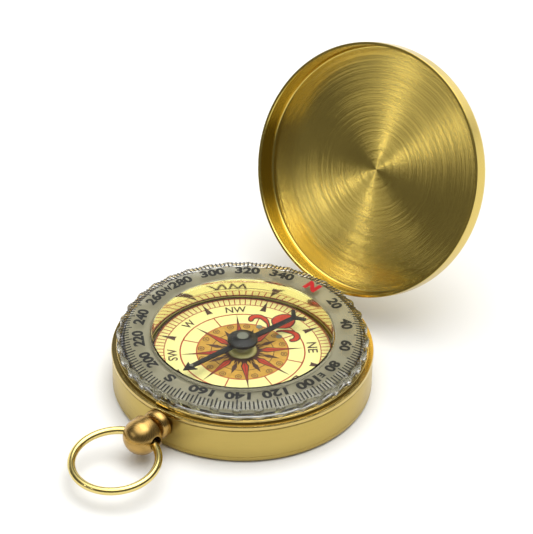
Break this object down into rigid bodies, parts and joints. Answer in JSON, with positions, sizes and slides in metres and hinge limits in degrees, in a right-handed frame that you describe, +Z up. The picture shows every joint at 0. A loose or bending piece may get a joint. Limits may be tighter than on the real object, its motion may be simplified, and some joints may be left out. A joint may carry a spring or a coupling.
{
  "type": "geology compass",
  "caption": "Brass pocket compass with a sprung flip lid, rotating clear degree bezel, rose dial, needle on a pivot, push crown and swinging ring.",
  "frame": {"origin": "centre of the flat bottom face of the case, on the surface it stands on", "axes": "+Z up through the dial's centre, -Y towards the pendant and ring, +Y towards the lid hinge, +X along the hinge pin"},
  "size_m": [0.05, 0.0996, 0.0512],
  "materials": {
    "satin_brass": "satin brushed",
    "polished_brass": "polished",
    "crown_brass": "polished, reddish",
    "spring_steel": "bare",
    "mirror_metal": "bright",
    "clear_acrylic": "clear moulded",
    "scale_grey": "silver-grey print",
    "dial_cream": "printed card",
    "boss_clear": "moulded",
    "needle_black": "black satin",
    "lume_grey": "luminous paint",
    "jewel_red": "moulded cap",
    "spacer_black": "moulded"
  },
  "bodies": {
    "case": {"base_shell": "satin_brass", "rim_ring": "polished_brass", "capsule_cup": "mirror_metal", "capsule_spacer": "spacer_black", "dial_card": "dial_cream", "pivot_boss": "boss_clear", "dial_lume_left": "lume_grey", "dial_lume_right": "lume_grey", "pivot_post": "polished_brass", "bezel_snap_ring": "spring_steel", "hinge_case_leaf": "polished_brass", "hinge_pin": "spring_steel", "hinge_spring": "spring_steel", "pendant_collar": "crown_brass", "collar_nut": "polished_brass", "crown_spring": "spring_steel"},
    "lid": {"lid_shell": "satin_brass", "hinge_lid_leaf": "polished_brass"},
    "bezel": {"bezel_ring": "clear_acrylic", "scale_ring": "scale_grey", "window": "clear_acrylic"},
    "needle": {"needle": "needle_black", "needle_hub": "needle_black", "jewel_bearing": "jewel_red", "hub_lume": "lume_grey", "needle_lume": "lume_grey"},
    "crown": {"crown_ball": "crown_brass", "crown_stem": "spring_steel", "lid_catch": "spring_steel", "catch_nut": "polished_brass"},
    "bow": {"bow_ring": "polished_brass"}
  },
  "joints": [
    {"name": "lid_hinge", "type": "hinge", "parent": "case", "child": "lid", "pos_m": [0, 0.02563, 0.0064], "axis": [1, 0, 0], "range_deg": [0, 115.5], "stiffness_Nm_per_rad": 0.003, "springref_deg": -17.19},
    {"name": "crown_push", "type": "slide", "parent": "case", "child": "crown", "axis": [0, 1, 0], "range_m": [0, 0.0012], "stiffness_N_per_m": 400, "springref_m": -0.0005, "deforming": ["crown_spring"]},
    {"name": "bow_swing", "type": "hinge", "parent": "crown", "child": "bow", "pos_m": [0, -0.0302, 0.0054], "axis": [-1, 0, 0], "range_deg": [-102, 114]},
    {"name": "bezel_turn", "type": "hinge", "parent": "case", "child": "bezel", "pos_m": [0, 0, 0.0108], "axis": [0, 0, 1], "continuous": true},
    {"name": "needle_spin", "type": "hinge", "parent": "case", "child": "needle", "pos_m": [0, 0, 0.009], "axis": [0, 0, 1], "continuous": true}
  ]
}
